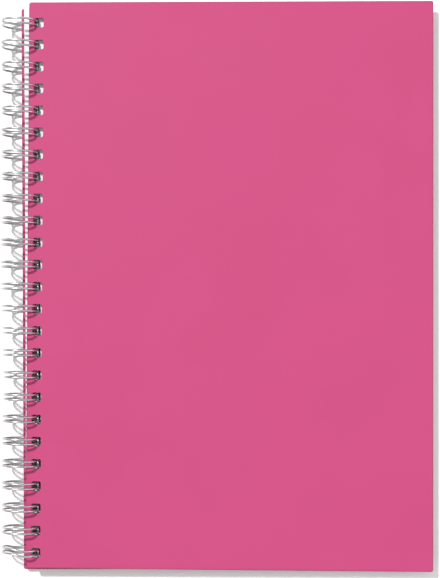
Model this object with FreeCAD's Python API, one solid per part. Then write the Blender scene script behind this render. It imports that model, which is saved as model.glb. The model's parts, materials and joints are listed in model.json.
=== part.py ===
import FreeCAD, Part
import math
import os

# Twin-loop bound A5 scrapbook lying closed on its back cover. Millimetres.
# +X runs from the spine to the fore-edge, +Y to the head, +Z up. Every piece is
# first drawn about the ring axis, the line along Y that the covers turn round,
# and the whole book is moved onto its frame at the end.

# Punching, shared by the covers, the pages and the wire
loop_count = 25
loop_pitch = 25.4 / 3
hole_size = 3.6
hole_chamfer = 0.5

# Wire
wire_diameter = 0.85
ring_diameter = 13.6  # along the middle of the wire
twin_spacing = 1.84  # between the two wires of one loop
base_bend = 0.75  # where a loop turns into the straight base
closing_gap = 0.3  # left between a loop's tip and the base when closed
cut_end = 2.0  # straight stub at each end of the wire
ring_spans = 14
wire_sides = 6

# Covers
cover_width = 155.0
cover_height = 217.0
cover_thickness = 1.25
cover_corner = 0.8
cover_edge_bevel = 0.3
front_spine_margin = 3.9  # from the holes' centres to the spine edge
front_head_margin = 7.95  # from the first hole's centre to the head edge
back_spine_margin = 4.3
back_head_margin = 6.7
worn_across = 0.65  # the front cover's corner at tail and spine is rubbed off
worn_along = 3.6

# Pages
page_width = 152.0
page_height = 213.0
page_spine_margin = 3.9
page_head_margin = 5.95
sheet_count = 30
sheet_thickness = 0.12

# How the closed book lies in its rings
back_depth = 4.9  # from the ring axis down to the middle of the back cover
rest_gap = 0.2  # from the pages down to the back cover, and up to the front at the fore-edge
hole_clearance = 0.1  # between the wire and a hole's wall
base_clearance = 0.15  # from the base wire to the pages below and the cover above
cross_slide = -0.2  # both covers have slipped along the wire towards the tail

# Where each layer hangs, as a share of its play on the wire: 0 leans to the spine,
# 1 to the fore-edge, first at the head loop and then at the tail loop
front_lean = (0.95, 0.26)
page_top_lean = (0.03, 0.22)
page_bottom_lean = (0.25, 0.69)
back_lean = (0.02, 0.98)

wire_radius = wire_diameter / 2
ring_radius = ring_diameter / 2
row_length = (loop_count - 1) * loop_pitch
block_thickness = sheet_count * sheet_thickness

# Heights from the ring axis, each layer seated on the one below
back_low = -back_depth - cover_thickness / 2
back_high = back_low + cover_thickness
page_low = back_high + rest_gap
page_high = page_low + block_thickness
base_height = page_high + base_clearance + wire_radius
front_low = base_height + wire_radius + base_clearance
front_high = front_low + cover_thickness


def point(x, y, z=0.0):
    return FreeCAD.Vector(x, y, z)


def loop_places():
    """Where the loops stand along the spine, from tail to head."""
    return [i * loop_pitch - row_length / 2 for i in range(loop_count)]


def hole_reach(low, high, lean):
    """How far from the ring axis the hole centres of a layer lie, at the head and tail loops.

    The wire crosses the layer on a circle, so it needs more of the hole where the ring is
    flatter. What is left of the hole is the layer's play.
    """
    nearest = 0.0 if low < 0.0 < high else min(abs(low), abs(high))
    furthest = max(abs(low), abs(high))
    outside = math.sqrt((ring_radius + wire_radius) ** 2 - nearest**2)
    inside = math.sqrt((ring_radius - wire_radius) ** 2 - furthest**2)
    slack = hole_size / 2 - hole_clearance
    spine_stop = outside - slack
    fore_stop = inside + slack
    return [spine_stop + share * (fore_stop - spine_stop) for share in lean]


def placed(shape, reach, slide, height):
    """Hang a layer drawn about its own row of holes on the wire."""
    head, tail = reach
    skew = math.degrees(math.asin((head - tail) / row_length))
    hung = shape.copy()
    hung.rotate(point(0, 0), point(0, 0, 1), -skew)
    hung.translate(point((head + tail) / 2, slide, height))
    return hung


def drooped(shape, angle):
    """Turn a layer round the ring axis so that its fore-edge sinks."""
    turned = shape.copy()
    turned.rotate(point(0, 0), point(0, 1), angle)
    return turned


def droop_to(reach, drop, target):
    """Angle that brings the point at this reach and drop below the axis down to target."""
    far = math.hypot(reach, drop)
    return math.degrees(math.asin(target / far) - math.atan2(drop, reach))


def hole_outline(y):
    """Square punched hole with clipped corners."""
    half = hole_size / 2
    flat = half - hole_chamfer
    corners = [(half, flat), (flat, half), (-flat, half), (-half, flat)]
    corners += [(-across, -along) for across, along in corners]
    ring = [point(across, y + along) for across, along in corners]
    return Part.makePolygon(ring + ring[:1])


def rounded_outline(corners, radius):
    """Closed outline through the corners, each rounded to the radius."""
    edges = []
    starts = []
    ends = []
    for i, corner in enumerate(corners):
        to_last = (corners[i - 1] - corner).normalize()
        to_next = (corners[(i + 1) % len(corners)] - corner).normalize()
        half_turn = to_last.getAngle(to_next) / 2
        setback = radius / math.tan(half_turn)
        middle = (to_last + to_next).normalize()
        crown = corner + middle * (radius / math.sin(half_turn) - radius)
        starts.append(corner + to_last * setback)
        ends.append(corner + to_next * setback)
        edges.append(Part.Arc(starts[-1], crown, ends[-1]).toShape())
    for i, start in enumerate(starts):
        edges.append(Part.LineSegment(ends[i - 1], start).toShape())
    return Part.Wire(Part.sortEdges(edges)[0])


def cover(spine_margin, head_margin, worn):
    """Punched board, drawn up from z = 0 with its row of holes along x = 0."""
    spine = -spine_margin
    fore = cover_width - spine_margin
    head = row_length / 2 + head_margin
    tail = head - cover_height
    corners = [point(fore, tail), point(fore, head), point(spine, head)]
    if worn:
        corners += [point(spine, tail + worn_along), point(spine + worn_across, tail)]
    else:
        corners += [point(spine, tail)]
    outline = rounded_outline(corners, cover_corner)
    blank = Part.Face(outline).extrude(point(0, 0, cover_thickness))
    rim = [edge for edge in blank.Edges if edge.BoundBox.ZLength < cover_thickness / 2]
    blank = blank.makeChamfer(cover_edge_bevel, rim)
    punches = [
        Part.Face(hole_outline(y)).extrude(point(0, 0, cover_thickness))
        for y in loop_places()
    ]
    return blank.cut(Part.makeCompound(punches)).Solids[0]


def page_outline():
    spine = -page_spine_margin
    fore = page_width - page_spine_margin
    head = row_length / 2 + page_head_margin
    tail = head - page_height
    ring = [point(fore, tail), point(fore, head), point(spine, head), point(spine, tail)]
    return Part.makePolygon(ring + ring[:1])


def page_layer(outline, level):
    """An outline at one level of the block, from 0 at its lowest sheet to 1 at its top."""
    low = hole_reach(page_low, page_low, page_bottom_lean)
    high = hole_reach(page_high, page_high, page_top_lean)
    reach = [a + (b - a) * level for a, b in zip(low, high)]
    return placed(outline, reach, 0.0, page_low + block_thickness * level)


def pages():
    """The block of sheets, which leans and twists as its holes follow the rings."""
    block = Part.makeLoft([page_layer(page_outline(), n) for n in (0, 1)], True, True)
    punches = []
    for y in loop_places():
        hole = hole_outline(y)
        punches.append(Part.makeLoft([page_layer(hole, n) for n in (-0.1, 1.1)], True, True))
    return block.cut(Part.makeCompound(punches)).Solids[0]


def on_ring(angle, y):
    """Point on the middle of the wire, with its facets spread evenly about the true circle."""
    radius = ring_radius * (1 + (1 - math.cos(math.pi / ring_spans)) / 2)
    return point(radius * math.cos(angle), y, radius * math.sin(angle))


def loop_path(y, base_angle):
    """One twin loop: off the base, round the ring, back at the tip and onto the base again."""
    half = twin_spacing / 2
    turn = base_bend / ring_radius
    tip_turn = half / ring_radius
    start = base_angle + turn
    tip = base_angle + math.tau - (2 * wire_radius + closing_gap) / ring_radius - tip_turn
    step = (tip - start) / ring_spans
    corner = base_bend * (1 - math.sin(math.pi / 4))
    rise = turn * (1 - math.cos(math.pi / 4))
    one_side = [(base_angle, half + base_bend), (base_angle + rise, half + corner)]
    one_side += [(start + step * i, half) for i in range(ring_spans + 1)]
    one_side += [(tip + tip_turn * math.sin(math.pi / 4), half * math.cos(math.pi / 4))]
    path = [on_ring(angle, y - across) for angle, across in one_side]
    path += [on_ring(tip + tip_turn, y)]
    path += [on_ring(angle, y + across) for angle, across in reversed(one_side)]
    return path


def wire_binding(base_angle):
    """One length of wire bent into twin loops, with both of its cut ends in the base."""
    places = loop_places()
    end = twin_spacing / 2 + base_bend + cut_end
    path = [on_ring(base_angle, places[0] - end)]
    for y in places:
        path += loop_path(y, base_angle)
    path += [on_ring(base_angle, places[-1] + end)]
    outward = point(math.cos(base_angle), 0, math.sin(base_angle))
    along = point(-math.sin(base_angle), 0, math.cos(base_angle))
    section = []
    for i in range(wire_sides):
        angle = math.tau * i / wire_sides
        spoke = along * math.cos(angle) + outward * math.sin(angle)
        section.append(path[0] + spoke * wire_radius)
    profile = Part.makePolygon(section + section[:1])
    sharp_corners = 1
    return Part.makePolygon(path).makePipeShell([profile], True, False, sharp_corners)


def book():
    """Every piece about the ring axis, with the book lying on its rings and its fore-edge."""
    back_reach = hole_reach(back_low, back_high, back_lean)
    back_fore = sum(back_reach) / 2 - back_spine_margin + cover_width
    floor = ring_radius + wire_radius
    back_droop = droop_to(back_fore, -back_low, floor)

    front_reach = hole_reach(front_low, front_high, front_lean)
    front_fore = sum(front_reach) / 2 - front_spine_margin + cover_width
    front_droop = back_droop + droop_to(front_fore, -front_low, -page_high - rest_gap)

    back = cover(back_spine_margin, back_head_margin, False)
    back = placed(back, back_reach, cross_slide, back_low)
    front = cover(front_spine_margin, front_head_margin, True)
    front = placed(front, front_reach, cross_slide, front_low)
    base_angle = math.asin(base_height / ring_radius) - math.radians(back_droop)
    return {
        "back_cover": drooped(back, back_droop),
        "pages": drooped(pages(), back_droop),
        "front_cover": drooped(front, front_droop),
        "wire_binding": wire_binding(base_angle),
    }


def main():
    pieces = book()
    box = Part.makeCompound(list(pieces.values())).BoundBox
    to_frame = point(-(box.XMin + box.XMax) / 2, -(box.YMin + box.YMax) / 2, -box.ZMin)
    os.makedirs("parts", exist_ok=True)
    for name, shape in pieces.items():
        shape.translate(to_frame)
        shape.exportStep("parts/" + name + ".step")
    print("ring axis at x", round(to_frame.x, 4), "z", round(to_frame.z, 4))
    print("size", round(box.XLength, 3), round(box.YLength, 3), round(box.ZLength, 3))


main()
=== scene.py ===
import json
import math
import random

import bmesh
import bpy
from mathutils import Euler, Matrix, Vector


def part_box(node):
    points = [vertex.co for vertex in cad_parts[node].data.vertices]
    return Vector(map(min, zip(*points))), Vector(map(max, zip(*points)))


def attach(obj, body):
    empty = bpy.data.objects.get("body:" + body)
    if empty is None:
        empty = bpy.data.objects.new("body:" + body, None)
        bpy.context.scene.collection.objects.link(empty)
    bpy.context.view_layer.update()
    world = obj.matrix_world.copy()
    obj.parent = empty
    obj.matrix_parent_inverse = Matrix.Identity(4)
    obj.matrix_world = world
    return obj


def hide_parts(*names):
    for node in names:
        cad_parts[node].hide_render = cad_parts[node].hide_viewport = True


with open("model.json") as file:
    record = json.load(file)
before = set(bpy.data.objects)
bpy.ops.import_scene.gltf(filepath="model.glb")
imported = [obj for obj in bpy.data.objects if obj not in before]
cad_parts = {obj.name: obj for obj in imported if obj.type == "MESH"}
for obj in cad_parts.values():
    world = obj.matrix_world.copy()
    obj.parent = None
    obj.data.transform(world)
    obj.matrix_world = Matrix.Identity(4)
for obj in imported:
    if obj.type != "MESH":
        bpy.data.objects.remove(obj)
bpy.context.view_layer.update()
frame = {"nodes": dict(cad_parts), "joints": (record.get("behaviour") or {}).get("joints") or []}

# Back cover. A stiff A5 board of dyed pink card, punched along its spine with a row of
# small square holes for the wire. It is cut and punched with a die, which presses its
# rim and its holes slightly round. Its rim and cut edges are coloured darker than the
# faces, as painted shade on the rounded edges.
MM = 0.001
loop_count = 25
loop_pitch = 25.4 / 3 * MM
row_length = (loop_count - 1) * loop_pitch
hole_size = 3.6 * MM
hole_corner = 0.7 * MM
board_corner = 0.8 * MM
board_rim_round = 0.4 * MM
board_hole_round = 0.08 * MM
board_corner_steps = 5
board_hole_steps = 4
back_spine_margin = 4.3 * MM
back_head_margin = 6.7 * MM
smooth_below = math.radians(40)
squarely_facing = 0.99

deep_pink = (0.430, 0.046, 0.149, 1)
light_pink = (0.446, 0.049, 0.157, 1)
# Painted shade: the darker pink laid on the rounded rim and cut edges.
rim_shade_pink = (0.22, 0.034, 0.090, 1)
pink_clouds_per_metre = 28.0
press_grains_per_metre = 2600.0
press_grain_depth = 0.006 * MM


class Value:
    """A number in a material. Sums on it add Math nodes."""

    def __init__(self, finish, socket):
        self.finish = finish
        self.socket = socket

    def sum(self, operation, *values):
        """The outcome of one Math node on two values at most."""
        sockets = dict(enumerate(values))
        return self.finish.node("ShaderNodeMath", {"operation": operation}, sockets)

    def __add__(self, other):
        return self.sum("ADD", self, other)

    def __rsub__(self, other):
        return self.sum("SUBTRACT", other, self)

    def __mul__(self, other):
        return self.sum("MULTIPLY", self, other)

    def __abs__(self):
        return self.sum("ABSOLUTE", self)

    __radd__ = __add__
    __rmul__ = __mul__

    def between(self, low, high):
        """0 at and below low, 1 at and above high, and smooth from one to the other."""
        settings = {"interpolation_type": "SMOOTHSTEP"}
        sockets = {"Value": self, "From Min": low, "From Max": high}
        return self.finish.node("ShaderNodeMapRange", settings, sockets)


class Finish:
    """A material, with a short way to add its nodes."""

    def __init__(self, name, **constants):
        self.material = bpy.data.materials.new(name)
        self.material.use_nodes = True
        self.tree = self.material.node_tree
        self.shader = self.tree.nodes["Principled BSDF"]
        self.give(**constants)

    def fill(self, node, sockets):
        """Link a node's sockets to values, or set them to plain numbers and colours."""
        for name, value in sockets.items():
            if isinstance(value, Value):
                self.tree.links.new(value.socket, node.inputs[name])
            else:
                node.inputs[name].default_value = value

    def node(self, kind, settings, sockets, output=0):
        """Add a node, set it, fill its sockets and give one of its outputs."""
        node = self.tree.nodes.new(kind)
        for name, value in settings.items():
            setattr(node, name, value)
        self.fill(node, sockets)
        return Value(self, node.outputs[output])

    def own_place(self):
        """A point's place in the piece's own axes, in metres."""
        return self.node("ShaderNodeTexCoord", {}, {}, "Object")

    def own_facing(self):
        """How far a surface faces along the piece's own Z, from -1 to 1."""
        facing = self.node("ShaderNodeTexCoord", {}, {}, "Normal")
        return self.node("ShaderNodeSeparateXYZ", {}, {0: facing}, "Z")

    def noise(self, place, per_metre, detail=3.0):
        """Soft noise from 0 to 1, with so many lumps to the metre."""
        sockets = {"Vector": place, "Scale": per_metre, "Detail": detail}
        return self.node("ShaderNodeTexNoise", {}, sockets)

    def stretched(self, place, scale):
        """A place drawn out along each axis, so that the noise there is pressed closer."""
        return self.node("ShaderNodeMapping", {}, {"Vector": place, "Scale": scale})

    def blend(self, share, first, second):
        """A colour from the first to the second as share goes from 0 to 1."""
        return self.node("ShaderNodeMix", {"data_type": "RGBA"}, {0: share, 6: first, 7: second}, 2)

    def bumped(self, height, depth):
        """Let a height from 0 to 1 stand out of the surface, by a depth in metres."""
        sockets = {"Height": height, "Distance": depth, "Strength": 1.0}
        self.fill(self.shader, {"Normal": self.node("ShaderNodeBump", {}, sockets)})

    def give(self, **sockets):
        """Fill the shader's own sockets, and give the material."""
        self.fill(self.shader, {name.replace("_", " "): value for name, value in sockets.items()})
        return self.material


def loop_places():
    """Where the holes stand along the spine, from the middle of the row."""
    return [i * loop_pitch - row_length / 2 for i in range(loop_count)]


def rounded(corners, radius, steps):
    """A closed outline through the corners, each turned on an arc."""
    outline = []
    for i, corner in enumerate(corners):
        to_last = (corners[i - 1] - corner).normalized()
        to_next = (corners[(i + 1) % len(corners)] - corner).normalized()
        half_turn = to_last.angle(to_next) / 2
        setback = radius / math.tan(half_turn)
        centre = corner + (to_last + to_next).normalized() * radius / math.sin(half_turn)
        start = corner + to_last * setback - centre
        end = corner + to_next * setback - centre
        for n in range(steps + 1):
            outline.append(centre + start.slerp(end, n / steps) * radius)
    return outline


def punched_hole(y, steps):
    """A hole's outline, clockwise, so that the sheet is on its left as it is on the rim's."""
    half = hole_size / 2
    corners = ((-half, y - half), (-half, y + half), (half, y + half), (half, y - half))
    return rounded([Vector(corner) for corner in corners], hole_corner, steps)


def inset(outline, distance):
    """A closed outline moved to its left."""
    moved = []
    for i, place in enumerate(outline):
        before = (place - outline[i - 1]).normalized()
        after = (outline[(i + 1) % len(outline)] - place).normalized()
        along = (before + after).normalized()
        left = Vector((-along.y, along.x))
        moved.append(place + left * distance / along.dot(before))
    return moved


def edge_profile(thickness, edge_round):
    """Setback and height of a cut edge, from the underside up to the face."""
    if not edge_round:
        return [(0, 0), (0, thickness)]
    turns = [math.radians(angle) for angle in (0, 30, 60, 90)]
    lower = [(edge_round * (1 - math.sin(a)), edge_round * (1 - math.cos(a))) for a in turns]
    return lower + [(setback, thickness - height) for setback, height in reversed(lower)]


def add_plate(mesh, outline, holes, thickness, rim_round, hole_round, placed):
    """Add a punched plate that lies on z = 0 in its own axes, and put it in its place."""
    borders = [[], []]
    points = []
    for loop, edge_round in [(outline, rim_round)] + [(hole, hole_round) for hole in holes]:
        levels = []
        for setback, height in edge_profile(thickness, edge_round):
            ring = inset(loop, setback) if setback else loop
            levels.append([mesh.verts.new((p.x, p.y, height)) for p in ring])
        for lower, upper in zip(levels, levels[1:]):
            for i, corner in enumerate(lower):
                mesh.faces.new((lower[i - 1], corner, upper[i], upper[i - 1]))
        for border, ring in zip(borders, (levels[0], levels[-1])):
            border += [mesh.edges.get((ring[i - 1], ring[i])) for i in range(len(ring))]
        points += [point for level in levels for point in level]
    for border in borders:
        bmesh.ops.triangle_fill(mesh, use_beauty=True, edges=border, normal=(0, 0, 1))
    bmesh.ops.transform(mesh, matrix=placed, verts=points)


def finished(mesh, name, material, placed, body):
    """Make an object of a mesh in its own axes, set it in place and let it ride on a body."""
    bmesh.ops.recalc_face_normals(mesh, faces=mesh.faces)
    data = bpy.data.meshes.new(name)
    mesh.to_mesh(data)
    mesh.free()
    data.materials.append(material)
    data.shade_smooth()
    data.set_sharp_from_angle(angle=smooth_below)
    piece = bpy.data.objects.new(name, data)
    bpy.context.collection.objects.link(piece)
    piece.matrix_world = placed
    flat_faces = piece.modifiers.new("flat_faces", "WEIGHTED_NORMAL")
    flat_faces.keep_sharp = True
    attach(piece, body)
    return piece


def mean_facing(node, towards):
    """The mean direction of those of a solid's faces that look squarely one way."""
    polygons = frame["nodes"][node].data.polygons
    faces = [f for f in polygons if f.normal.dot(towards) > squarely_facing]
    return sum((f.normal * f.area for f in faces), Vector()).normalized()


def sheet_axes(out, up):
    """A sheet's own axes: X out from the spine, Y to the head and Z up from its face."""
    return Matrix((out, up.cross(out), up)).transposed().to_4x4()


def board_axes(node):
    """A board's own axes, from its top and its fore-edge, and its low and high corners in them."""
    up = mean_facing(node, Vector((0, 0, 1)))
    out = mean_facing(node, Vector((1, 0, 0)))
    axes = sheet_axes((out - up * out.dot(up)).normalized(), up)
    own = [axes.transposed() @ vertex.co for vertex in frame["nodes"][node].data.vertices]
    low = Vector([min(place[k] for place in own) for k in range(3)])
    high = Vector([max(place[k] for place in own) for k in range(3)])
    return axes, low, high


def card():
    """Dyed pink card with a faint press grain, and painted shade that darkens its rounded rim and cut
    edges.
    """
    finish = Finish("pink_card", Specular_IOR_Level=0.25)
    place = finish.own_place()
    # Painted shade: faces that do not look up or down, the rim and the hole walls, take the darker
    # pink.
    cut_edge = 1 - abs(finish.own_facing()).between(0.85, 1.0)
    cloud = finish.noise(place, pink_clouds_per_metre, detail=4.0).between(0.3, 0.7)
    colour = finish.blend(cut_edge, finish.blend(cloud, deep_pink, light_pink), rim_shade_pink)
    finish.bumped(finish.noise(place, press_grains_per_metre, detail=2.0), press_grain_depth)
    return finish.give(Base_Color=colour, Roughness=0.5 + 0.12 * cloud)


def square_corners(spine_margin, head_margin, width, height):
    """A sheet's corners from its fore-edge at the tail round to its spine at the tail.

    The row of holes lies along x = 0, with its middle at y = 0.
    """
    fore = width - spine_margin
    head = row_length / 2 + head_margin
    tail = head - height
    corners = ((fore, tail), (fore, head), (-spine_margin, head), (-spine_margin, tail))
    return [Vector(corner) for corner in corners]


def add_cover(node, spine_margin, head_margin, corners_of, material):
    """Put a board in the place of a solid cover, with its width, height, thickness and tilt."""
    axes, low, high = board_axes(node)
    corners = corners_of(spine_margin, head_margin, high.x - low.x, high.y - low.y)
    outline = rounded(corners, board_corner, board_corner_steps)
    holes = [punched_hole(y, board_hole_steps) for y in loop_places()]
    mesh = bmesh.new()
    add_plate(mesh, outline, holes, high.z - low.z, board_rim_round, board_hole_round, Matrix())
    row_middle = Vector((low.x + spine_margin, high.y - head_margin - row_length / 2, low.z))
    placed = axes @ Matrix.Translation(row_middle)
    piece = finished(mesh, node + "_board", material, placed, node)
    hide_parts(node)


pink_card = card()
add_cover("back_cover", back_spine_margin, back_head_margin, square_corners, pink_card)

# Pages. Thirty loose leaves of plain white paper, punched like the boards and a little
# smaller. They hang on the rings, so the block leans over and no two lie quite in line.
leaf_count = 30
leaf_thickness = 0.105 * MM
leaf_slip_out = 0.15 * MM
leaf_slip_along = 0.12 * MM
leaf_hole_steps = 3
page_spine_margin = 3.9 * MM
page_head_margin = 5.95 * MM
on_face_within = 0.02 * MM

cool_paper = (0.83, 0.84, 0.87, 1)
pale_paper = (0.86, 0.865, 0.89, 1)
cut_paper = (0.74, 0.75, 0.77, 1)
fibres_per_metre = 900.0
fibre_stretch = (1, 1, 9)
fibre_depth = 0.01 * MM
random.seed(25)


def block_corners(node):
    """Three corners of a block's underside, and of its top: spine tail, spine head, fore head."""
    points = [vertex.co.copy() for vertex in frame["nodes"][node].data.vertices]
    ways = [Vector((-1, -1, 0)), Vector((-1, 1, 0)), Vector((1, 1, 0))]
    faces = []
    for z in (-1, 1):
        normal = mean_facing(node, Vector((0, 0, z)))
        furthest = max(point.dot(normal) for point in points)
        face = [point for point in points if point.dot(normal) > furthest - on_face_within]
        faces.append([max(face, key=way.dot) for way in ways])
    return faces


def paper():
    """Plain white paper with a soft fibre, greyer along its cut edges."""
    finish = Finish("white_paper", Specular_IOR_Level=0.2)
    place = finish.own_place()
    cut_edge = 1 - abs(finish.own_facing()).between(0.3, 0.9)
    fibre = finish.noise(finish.stretched(place, fibre_stretch), fibres_per_metre)
    colour = finish.blend(cut_edge, finish.blend(fibre, cool_paper, pale_paper), cut_paper)
    finish.bumped(fibre, fibre_depth)
    return finish.give(Base_Color=colour, Roughness=0.85)


low_face, high_face = block_corners("pages")
page_width = (low_face[2] - low_face[1]).length
page_height = (low_face[1] - low_face[0]).length
page_outline = square_corners(page_spine_margin, page_head_margin, page_width, page_height)
page_holes = [punched_hole(y, leaf_hole_steps) for y in loop_places()]
leaves = bmesh.new()
for n in range(leaf_count):
    share = (n + 0.5) / leaf_count
    tail_corner, head_corner, fore_corner = [a.lerp(b, share) for a, b in zip(low_face, high_face)]
    out = (fore_corner - head_corner).normalized()
    up = out.cross(head_corner - tail_corner).normalized()
    slip = Vector((random.uniform(0, leaf_slip_out), random.uniform(-1, 1) * leaf_slip_along, 0))
    row_middle = Vector((page_spine_margin, -page_head_margin - row_length / 2, -leaf_thickness / 2))
    corner_axes = Matrix.Translation(head_corner) @ sheet_axes(out, up)
    placed = corner_axes @ Matrix.Translation(row_middle + slip)
    add_plate(leaves, page_outline, page_holes, leaf_thickness, 0, 0, placed)
piece = finished(leaves, "paper_leaves", paper(), Matrix(), "binding")
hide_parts("pages")

# Front cover. The same board as the back, hung a little askew on the rings. Its corner at
# the tail of the spine is rubbed off.
front_spine_margin = 3.9 * MM
front_head_margin = 7.95 * MM
worn_across = 0.65 * MM
worn_along = 3.6 * MM


def worn_corners(spine_margin, head_margin, width, height):
    """A sheet's corners, with the last one, at the tail of the spine, worn off to two."""
    corners = square_corners(spine_margin, head_margin, width, height)
    worn_off = corners.pop()
    return corners + [worn_off + Vector((0, worn_along)), worn_off + Vector((worn_across, 0))]


add_cover("front_cover", front_spine_margin, front_head_margin, worn_corners, pink_card)

# Wire. One length of bright nickelled steel wire, bent into twenty-five twin loops on a
# straight base. They go through the holes and close, tip to base, inside the book. Use has
# bent two of them out of true and pushed over the last one at the tail.
wire_radius = 0.425 * MM
ring_radius = 6.8 * MM
twin_half = 0.92 * MM
base_bend = 0.75 * MM
closing_gap = 0.3 * MM
cut_end = 2.0 * MM
ring_steps = 44
bend_steps = 6
bevel_steps = 4
loop_slip = 0.15 * MM
loop_lean = 0.27 * MM
loop_sway = 0.07 * MM
dented_loop = 8
dent_depth = 0.75 * MM
dent_spread = 2.2
bulged_loop = 13
bulge_height = 0.4 * MM
bulge_spread = 1.6
last_push = 1.0 * MM
push_start = math.radians(68)
push_end = math.radians(200)
push_rise = math.radians(48)
at_end_within = 0.05 * MM

bright_nickel = (0.57, 0.57, 0.58, 1)
dulled_nickel = (0.49, 0.49, 0.50, 1)
dull_marks_per_metre = 420.0
draw_marks_per_metre = 3000.0
draw_mark_depth = 0.004 * MM

axis = Vector(next(joint["pos_m"] for joint in frame["joints"] if joint["name"] == "front_cover_turn"))
wire_low, wire_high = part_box("wire_binding")
wire_middle = (wire_low.y + wire_high.y) / 2
wire_points = [vertex.co for vertex in frame["nodes"]["wire_binding"].data.vertices]
stub = [point - axis for point in wire_points if point.y < wire_low.y + at_end_within]
stub_middle = sum(stub, Vector()) / len(stub)
base_angle = math.atan2(stub_middle.z, stub_middle.x)


def pressed_in(loop):
    """How far a loop's back is pressed towards the book. It is bulged out where this is below 0."""
    dent = dent_depth * math.exp(-(((loop - dented_loop) / dent_spread) ** 2))
    bulge = bulge_height * math.exp(-(((loop - bulged_loop) / bulge_spread) ** 2))
    return dent - bulge


def eased(share):
    """0 at and below 0, 1 at and above 1, and smooth from one to the other."""
    share = min(max(share, 0), 1)
    return share * share * (3 - 2 * share)


def leaned(loop, angle, sway):
    """How much nearer the head a point of a loop is than it would be on a true loop.

    The loops have slipped to the tail at their base, and lean to the head at their backs.
    The back of the last one at the tail is pushed over, from hole to hole.
    """
    away = (1 - math.cos(angle - base_angle)) / 2
    back = eased((angle - push_start) / push_rise) - eased((angle - push_end) / push_rise)
    pushed = last_push * back if loop == 0 else 0
    return (loop_lean + sway) * away - loop_slip + pushed


def on_ring(angle, y, loop, sway):
    """A point of the wire, at an angle round the rings' axis and a place y along the spine."""
    behind = max(0.0, -math.cos(angle)) ** 2
    x = ring_radius * math.cos(angle) + pressed_in(loop) * behind
    return (axis.x + x, y + leaned(loop, angle, sway), axis.z + ring_radius * math.sin(angle))


def loop_path(loop, y, sway):
    """One twin loop: off the base, round the ring, back at the tip and onto the base again."""
    quarter = [math.pi / 2 * n / bend_steps for n in range(bend_steps)]
    start = base_angle + base_bend / ring_radius
    tip = base_angle + math.tau - (2 * wire_radius + closing_gap + twin_half) / ring_radius
    side = []
    for turn in quarter:
        rise = base_bend * (1 - math.cos(turn)) / ring_radius
        side.append((base_angle + rise, twin_half + base_bend * (1 - math.sin(turn))))
    for n in range(ring_steps + 1):
        side.append((start + (tip - start) * n / ring_steps, twin_half))
    for turn in quarter[1:]:
        side.append((tip + twin_half / ring_radius * math.sin(turn), twin_half * math.cos(turn)))
    path = [on_ring(angle, y - across, loop, sway) for angle, across in side]
    path.append(on_ring(tip + twin_half / ring_radius, y, loop, sway))
    path += [on_ring(angle, y + across, loop, sway) for angle, across in reversed(side)]
    return path


def nickel():
    """Bright nickel over drawn wire, slightly dulled by handling."""
    finish = Finish("nickelled_wire", Metallic=1.0)
    place = finish.own_place()
    dulled = finish.noise(place, dull_marks_per_metre).between(0.35, 0.7)
    colour = finish.blend(dulled, bright_nickel, dulled_nickel)
    finish.bumped(finish.noise(place, draw_marks_per_metre, detail=2.0), draw_mark_depth)
    return finish.give(Base_Color=colour, Roughness=0.32 + 0.12 * dulled)


stub_length = twin_half + base_bend + cut_end
wire_path = [on_ring(base_angle, wire_middle - row_length / 2 - stub_length, 0, 0)]
for loop, y in enumerate(loop_places()):
    wire_path += loop_path(loop, wire_middle + y, random.uniform(-loop_sway, loop_sway))
wire_path += [on_ring(base_angle, wire_middle + row_length / 2 + stub_length, loop_count, 0)]
bent_wire = bpy.data.curves.new("twin_loop_wire", "CURVE")
bent_wire.dimensions = "3D"
bent_wire.bevel_depth = wire_radius
bent_wire.bevel_resolution = bevel_steps
bent_wire.use_fill_caps = True
spline = bent_wire.splines.new("POLY")
spline.points.add(len(wire_path) - 1)
for point, place in zip(spline.points, wire_path):
    point.co = (*place, 1)
bent_wire.materials.append(nickel())
piece = bpy.data.objects.new("twin_loop_wire", bent_wire)
bpy.context.collection.objects.link(piece)
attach(piece, "binding")
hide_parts("wire_binding")

# Floor. A plain white sheet that the book lies on. It runs on so far on all sides that
# its end is never seen.
floor_size = 40.0
floor_off_white = (0.94, 0.94, 0.94, 1)
floor_white = (0.945, 0.945, 0.945, 1)
floor_mottles_per_metre = 3.0


def white_floor():
    """A matt white with a very faint mottle."""
    finish = Finish("white_floor", Specular_IOR_Level=0.0)
    mottle = finish.noise(finish.own_place(), floor_mottles_per_metre)
    return finish.give(Base_Color=finish.blend(mottle, floor_off_white, floor_white), Roughness=0.9)


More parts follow.
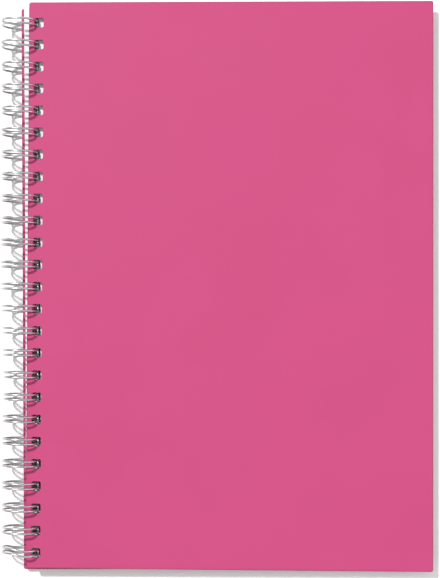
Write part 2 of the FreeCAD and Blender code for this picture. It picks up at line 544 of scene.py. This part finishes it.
sheet = bmesh.new()
bmesh.ops.create_grid(sheet, x_segments=4, y_segments=4, size=floor_size / 2)
floor_data = bpy.data.meshes.new("floor")
sheet.to_mesh(floor_data)
sheet.free()
floor_data.materials.append(white_floor())
floor = bpy.data.objects.new("floor", floor_data)
bpy.context.collection.objects.link(floor)

# Lights. A hard lamp from the head and the spine draws the narrow shadows. A wide panel
# overhead, and a bright white card that stands out beyond the fore-edge, lift them.
lamp_travel = (0.43, -0.53, -1)
lamp_strength = 3.0
lamp_spread = math.radians(5)
panel_size = 4.8
panel_height = 2.0
panel_power = 31.0
white_card_width = 1.0
white_card_height = 1.8
white_card_distance = 1.3
white_card_power = 8.64
studio_grey = (0.29, 0.29, 0.29, 1)


def hang(name, kind, strength, travel, place=(0, 0, 0)):
    """Hang a light at a place, and turn it so that its rays travel one way."""
    light = bpy.data.objects.new(name, bpy.data.lights.new(name, kind))
    light.data.energy = strength
    light.location = place
    light.rotation_euler = Vector(travel).to_track_quat("-Z", "Y").to_euler()
    bpy.context.collection.objects.link(light)
    return light


lamp = hang("lamp", "SUN", lamp_strength, lamp_travel)
lamp.data.angle = lamp_spread
panel = hang("panel", "AREA", panel_power, (0, 0, -1), (0, 0, panel_height))
panel.data.shape = "DISK"
panel.data.size = panel_size
white_card_place = (white_card_distance, 0, white_card_height / 2)
white_card = hang("white_card", "AREA", white_card_power, (-1, 0, 0), white_card_place)
white_card.data.shape = "RECTANGLE"
white_card.data.size = white_card_width
white_card.data.size_y = white_card_height
white_card.visible_camera = False

world = bpy.data.worlds.new("studio")
world.use_nodes = True
world.node_tree.nodes["Background"].inputs["Color"].default_value = studio_grey
bpy.context.scene.world = world
bpy.context.scene.view_settings.view_transform = "Standard"

# Camera. It looks almost straight down on the front cover through a long lens, from about
# 0.6 m above the floor.
camera_data = bpy.data.cameras.new("camera")
camera_data.lens = 99.78
camera = bpy.data.objects.new("camera", camera_data)
camera.location = Vector((34.03, -17.71, 617.86)) * MM
camera.rotation_euler = Euler([math.radians(angle) for angle in (1.493, 3.091, -0.229)])
bpy.context.collection.objects.link(camera)
bpy.context.scene.camera = camera
